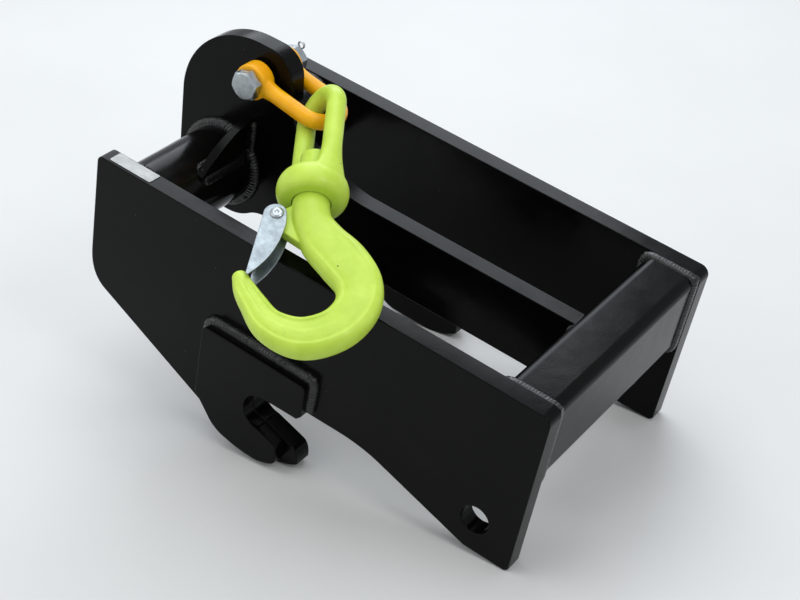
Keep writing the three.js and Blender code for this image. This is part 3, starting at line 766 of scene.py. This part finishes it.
pin_top = BOLT_R + 3
loop_at = pin_top + 4.2
one_leg = [(-6.4, -pin_top - 3.6), (-3.0, -pin_top - 1.4), (-1.05, -pin_top + 2)]
one_leg += [(-1.05, 0), (-1.05, pin_top - 1)]
pin_points = list(one_leg)
for degrees in range(230, -51, -40):
    a = math.radians(degrees)
    pin_points.append((3.8 * math.cos(a), loop_at + 3.8 * math.sin(a)))
pin_points += [(-x, z) for x, z in reversed(one_leg)]
wire_line = smooth_line([Vector((x, PIN_Y, z)) for x, z in pin_points], 7)
split_pin = along(wire_line, [(0.95, 1.5)] * len(wire_line), Vector((0, 1, 0)), 14)
piece("split_pin_bent", split_pin, BOW, "shackle", ZINC, ["split_pin"], 60)

# ---- swivel eye --------------------------------------------------------------------------------

eye_line = [Vector((-EYE_HALF, 0, z)) for z in np.linspace(-COLLAR_TOP - 12, -2, 40)]
for a in np.linspace(0, math.pi, 48):
    eye_line.append(Vector((-EYE_HALF * math.cos(a), 0, EYE_HALF * math.sin(a))))
eye_line += [Vector((EYE_HALF, 0, z)) for z in np.linspace(-2, -COLLAR_TOP - 12, 40)]


def eye_section(p):
    """The ring's bar, which spreads as it runs down into the collar."""
    low = max(0.0, (-p.z - 52) / 34)
    return 10.3, 10.5 + 5.5 * min(low, 1.15) ** 2


ring_bar = along(eye_line, [eye_section(p) for p in eye_line], Vector((0, 1, 0)), 28)
skin = Outline(0.01, -COLLAR_TOP + 4).line(COLLAR_R - 16, -COLLAR_TOP + 4)
skin.bend((COLLAR_R - 8, -COLLAR_TOP + 3), (COLLAR_R, -COLLAR_TOP - 3), (COLLAR_R, -COLLAR_TOP - 16))
foot = -COLLAR_FOOT + 0.2
skin.bend((COLLAR_R, -COLLAR_FOOT + 9), (COLLAR_R - 3, foot), (COLLAR_R - 10, foot)).line(0.01, foot)
collar = turned([(p.x, p.y) for p in skin.points], "Z", 72)
rooms = [
    turned([(NECK_R + 0.5, -COLLAR_FOOT - 5), (NECK_R + 0.5, -COLLAR_TOP + 5)], "Z", 48),
    turned([(SHANK_R + 1, -COLLAR_FOOT - 5), (SHANK_R + 1, -COLLAR_FOOT + 9)], "Z", 72),
    turned([(NUT_R + 0.7, -COLLAR_TOP), (NUT_R + 0.7, -40)], "Z", 72),
]
eye = forged(joined(ring_bar, collar), 1.0, 7, rooms)
piece("swivel_eye_forged", eye, EYE, "swivel_eye", GREEN, ["swivel_eye"], 60)

nut_foot = -(COLLAR_TOP - GAP - 3 - GAP)
shank_nut = [(NUT_R - 1.2, nut_foot), (NUT_R, nut_foot + 1.2), (NUT_R, -NUT_TOP - 1.6)]
shank_nut += [(NUT_R - 0.4, -NUT_TOP - 0.6), (NUT_R - 1.1, -NUT_TOP - 0.1), (NUT_R - 1.9, -NUT_TOP)]
shank_nut += [(NECK_R + 1.6, -NUT_TOP), (NECK_R + GAP, -NUT_TOP - 1.2), (NECK_R + GAP, nut_foot)]
round_nut = turned(shank_nut, "Z", 96, closed=True)
piece("shank_nut_turned", round_nut, HOOK, "hook", GREEN, ["shank_nut"])

# ---- hook --------------------------------------------------------------------------------------

# Down the hook's middle line: x, z, half width in its plane, half thickness, and how boxy the section is.
STATIONS = np.array([
    (0, -113, 19.5, 19.5, 0), (0.5, -128, 19.5, 19.5, 0), (4, -145, 20.5, 18, 0.1), (17, -168, 24, 16, 0.3),
    (38, -192, 26, 15.2, 0.4), (55, -219, 24, 15.2, 0.4), (55.5, -246, 22.8, 15.2, 0.4),
    (38, -271.5, 22.3, 15.2, 0.4), (6, -283.3, 21.6, 15, 0.4), (-26.5, -270.5, 17.2, 14.2, 0.3),
    (-45.5, -245, 13.6, 12.6, 0.2), (-55.5, -228, 11.5, 11, 0.1),
    (-62, -213, 8, 8, 0),
])


def station(t):
    """The hook's station at t from 0 to 1, on a centripetal curve through the given ones."""
    last = len(STATIONS) - 1
    i = min(int(t * last), last - 1)
    w = t * last - i
    p1, p2 = STATIONS[i], STATIONS[i + 1]
    p0 = STATIONS[i - 1] if i else 2 * p1 - p2
    p3 = STATIONS[i + 2] if i + 2 <= last else 2 * p2 - p1
    d0, d1, d2 = (np.hypot(*(b - a)[:2]) ** 0.5 for a, b in ((p0, p1), (p1, p2), (p2, p3)))
    t1 = ((p1 - p0) / d0 - (p2 - p0) / (d0 + d1) + (p2 - p1) / d1) * d1
    t2 = ((p2 - p1) / d1 - (p3 - p1) / (d1 + d2) + (p3 - p2) / d2) * d1
    return p1 + t1 * w + (3 * (p2 - p1) - 2 * t1 - t2) * w ** 2 + (2 * (p1 - p2) + t1 + t2) * w ** 3


def step_up(x, low, high):
    s = min(max((x - low) / (high - low), 0.0), 1.0)
    return s * s * (3 - 2 * s)


def sunk(u, t):
    """Depth of the forged panel in the bowl's flat faces: u is 1 at the mouth side and -1 at the back."""
    reach = step_up(t, 0.20, 0.30) * (1 - step_up(t, 0.90, 0.97))
    band = step_up(u, -0.66, -0.54) * (1 - step_up(u, 0.60, 0.74))
    channel = step_up(u, -0.02, 0.14) * (1 - step_up(u, 0.52, 0.70)) * step_up(t, 0.52, 0.62)
    return reach * (1.5 * band + 1.8 * channel)


def hook_rings():
    rings = []
    n, sides = 260, 96
    for i in range(n + 1):
        t = i / n
        x, z, wide, thick, boxy = station(t)
        before, after = station(max(t - 0.002, 0)), station(min(t + 0.002, 1))
        tangent = Vector((after[0] - before[0], 0, after[1] - before[1])).normalized()
        side = Vector((tangent.z, 0, -tangent.x))
        power = 1 - 0.5 * max(boxy, 0)
        ring = []
        for k in range(sides):
            a = 2 * math.pi * k / sides
            c, s = math.cos(a), math.sin(a)
            u = math.copysign(abs(c) ** power, c)
            v = math.copysign(abs(s) ** power, s)
            face = math.copysign(sunk(u, t) * min(abs(v) * 1.5, 1), v)
            ring.append(Vector((x, 0, z)) + side * wide * u + Vector((0, thick * v - face, 0)))
        rings.append(ring)
    x, z, wide, thick, boxy = station(1)
    tangent = Vector((x - station(0.99)[0], 0, z - station(0.99)[1])).normalized()
    centre = Vector((x, 0, z))
    last = rings[-1]
    for k in range(1, 9):
        end = k / 8.5
        shrink = math.sqrt(1 - end ** 2)
        ahead = tangent * wide * 0.75 * end
        rings.append([centre + (p - centre) * shrink + ahead for p in last])
    return rings


lug = Outline(-12, -121.5).line(LATCH_PIVOT[0], LATCH_PIVOT[1] + LUG_R)
lug.arc(*LATCH_PIVOT, LUG_R, 90, 225).line(-25, -160).line(0, -178)
lug_plate = plate([lug.loop()], -LUG_HALF, LUG_HALF, edge=1.2)
neck = turned([(NECK_R, -COLLAR_FOOT + 2), (NECK_R, -NUT_TOP - 2), (NECK_R - 1, -NUT_TOP - 1)], "Z", 60)
hook = forged(joined(loft(hook_rings()), lug_plate, neck), 0.9, 4)
piece("hook_forged", hook, HOOK, "hook", GREEN, ["hook_body"], 60)

# ---- latch -------------------------------------------------------------------------------------


def latch_rim():
    rim = Outline(LATCH_TOP[0] + LATCH_TOP[1], 0).arc(LATCH_TOP[0], 0, LATCH_TOP[1], 0, 180)
    rim.line(LATCH_TIP[0], LATCH_TIP[1] + 1.5).line(LATCH_TIP[0] + 2.5, LATCH_TIP[1])
    return rim.bend((-9, -65), (6, -50), (sum(LATCH_TOP) + 0.6, -12), n=30)


cheeks = [plate([latch_rim().loop()], y, y + LATCH_T, edge=0) for y in (-LATCH_HALF, LATCH_HALF - LATCH_T)]
back_x = LATCH_TOP[0] - LATCH_TOP[1]
foot_x = back_x + (LATCH_TIP[0] - back_x) * LATCH_BACK_END / LATCH_TIP[1]
back = Outline(back_x, 0).line(back_x + LATCH_STRIP, 0).line(foot_x + LATCH_STRIP, LATCH_BACK_END)
back.line(foot_x, LATCH_BACK_END)
spine = plate([back.loop()], -LATCH_HALF, LATCH_HALF, edge=0)
pressed = forged(joined(*cheeks, spine), 0.5, 4)
piece("latch_pressed", pressed, LATCH, "latch", PRESSED, ["latch"], 60)

head = LATCH_HALF + GAP
head_r, head_t = RIVET_HEAD
dome = [(head_r - 0.3, 0), (head_r, 0.5), (head_r - 0.6, 1.4), (head_r - 2.3, head_t - 0.1)]
dome += [(head_r - 4, head_t), (2.2, 1.9), (1.4, 1.0), (0.02, 0.7)]
rivet_line = [(r, head + out) for r, out in reversed(dome)]
rivet_line += [(4.5, head - 0.05), (4.5, -head + 0.05)]
rivet_line += [(r, -head - out) for r, out in dome]
rivet = turned(rivet_line, "Y", 64)
piece("latch_rivet_turned", rivet, LATCH, "latch", ZINC, ["latch_rivet"])

coil_r, wire_r, coil_y, coil_rise, coil_end = SPRING
coil = []
for a in np.linspace(0, coil_end, 90):
    coil.append(Vector((coil_r * math.cos(a), coil_y + coil_rise * a / coil_end, coil_r * math.sin(a))))
spring = along(coil, wire_r, Vector((0, 1, 0)), 12)
piece("latch_spring_coil", spring, LATCH, "latch", SPRING_STEEL, ["latch_spring"], 60)

washer = frame["nodes"]["thrust_washer"]
washer.data.materials.clear()
washer.data.materials.append(BRONZE)

# ---- floor, light and camera -------------------------------------------------------------------

floor_mesh = bpy.data.meshes.new("floor")
floor_bm = bmesh.new()
bmesh.ops.create_grid(floor_bm, x_segments=1, y_segments=1, size=30)
floor_bm.to_mesh(floor_mesh)
floor_bm.free()
floor = bpy.data.objects.new("floor", floor_mesh)
bpy.context.scene.collection.objects.link(floor)
floor_look = Look("pale_floor")
pale = floor_look.ramp(floor_look.noise(3, 3), (0.3, (0.66, 0.66, 0.65)), (0.7, (0.69, 0.69, 0.68)))
floor_mesh.materials.append(floor_look.use(Base_Color=pale))
floor_look.shader.inputs["Roughness"].default_value = 0.6

world = bpy.data.worlds.new("studio")
world.use_nodes = True
world.node_tree.nodes["Background"].inputs["Color"].default_value = (0.90, 0.94, 1.0, 1)
world.node_tree.nodes["Background"].inputs["Strength"].default_value = 0.62
bpy.context.scene.world = world


def softbox(name, at, aim, size, power, colour=(1, 1, 1)):
    data = bpy.data.lights.new(name, "AREA")
    data.shape = "RECTANGLE"
    data.size, data.size_y = size
    data.energy = power
    data.color = colour
    lamp = bpy.data.objects.new(name, data)
    bpy.context.scene.collection.objects.link(lamp)
    lamp.location = at
    lamp.rotation_euler = (Vector(aim) - Vector(at)).to_track_quat("-Z", "Y").to_euler()


softbox("overhead", (-0.2, 0.3, 2.7), (0, 0, 0.2), (2.2, 2.0), 29, (0.93, 0.97, 1.0))
softbox("behind", (-1.4, 2.0, 1.9), (0, 0, 0.2), (2.4, 1.3), 34, (0.88, 0.94, 1.0))
softbox("key", (1.6, -0.4, 1.9), (0, 0, 0.2), (0.8, 0.8), 11, (1.0, 0.98, 0.94))
softbox("fill", (-1.7, -1.6, 1.6), (0, 0, 0.1), (2.4, 2.0), 15, (1.0, 0.97, 0.93))

RIGHT = Vector((0.8214, 0.5697, 0.0278))
UP = Vector((-0.3308, 0.4361, 0.8369))
CAMERA_OFFSET = (1.12434, -1.27154, 0.83799)    # from the plates' own origin
camera_data = bpy.data.cameras.new("camera")
camera_data.lens = 75.0
camera_data.sensor_width = 36.0
camera = bpy.data.objects.new("camera", camera_data)
bpy.context.scene.collection.objects.link(camera)
camera.matrix_world = axes(RIGHT, UP, RIGHT.cross(UP), PLATES.translation / 1000 + Vector(CAMERA_OFFSET))
bpy.context.scene.camera = camera
bpy.context.scene.view_settings.view_transform = "Standard"
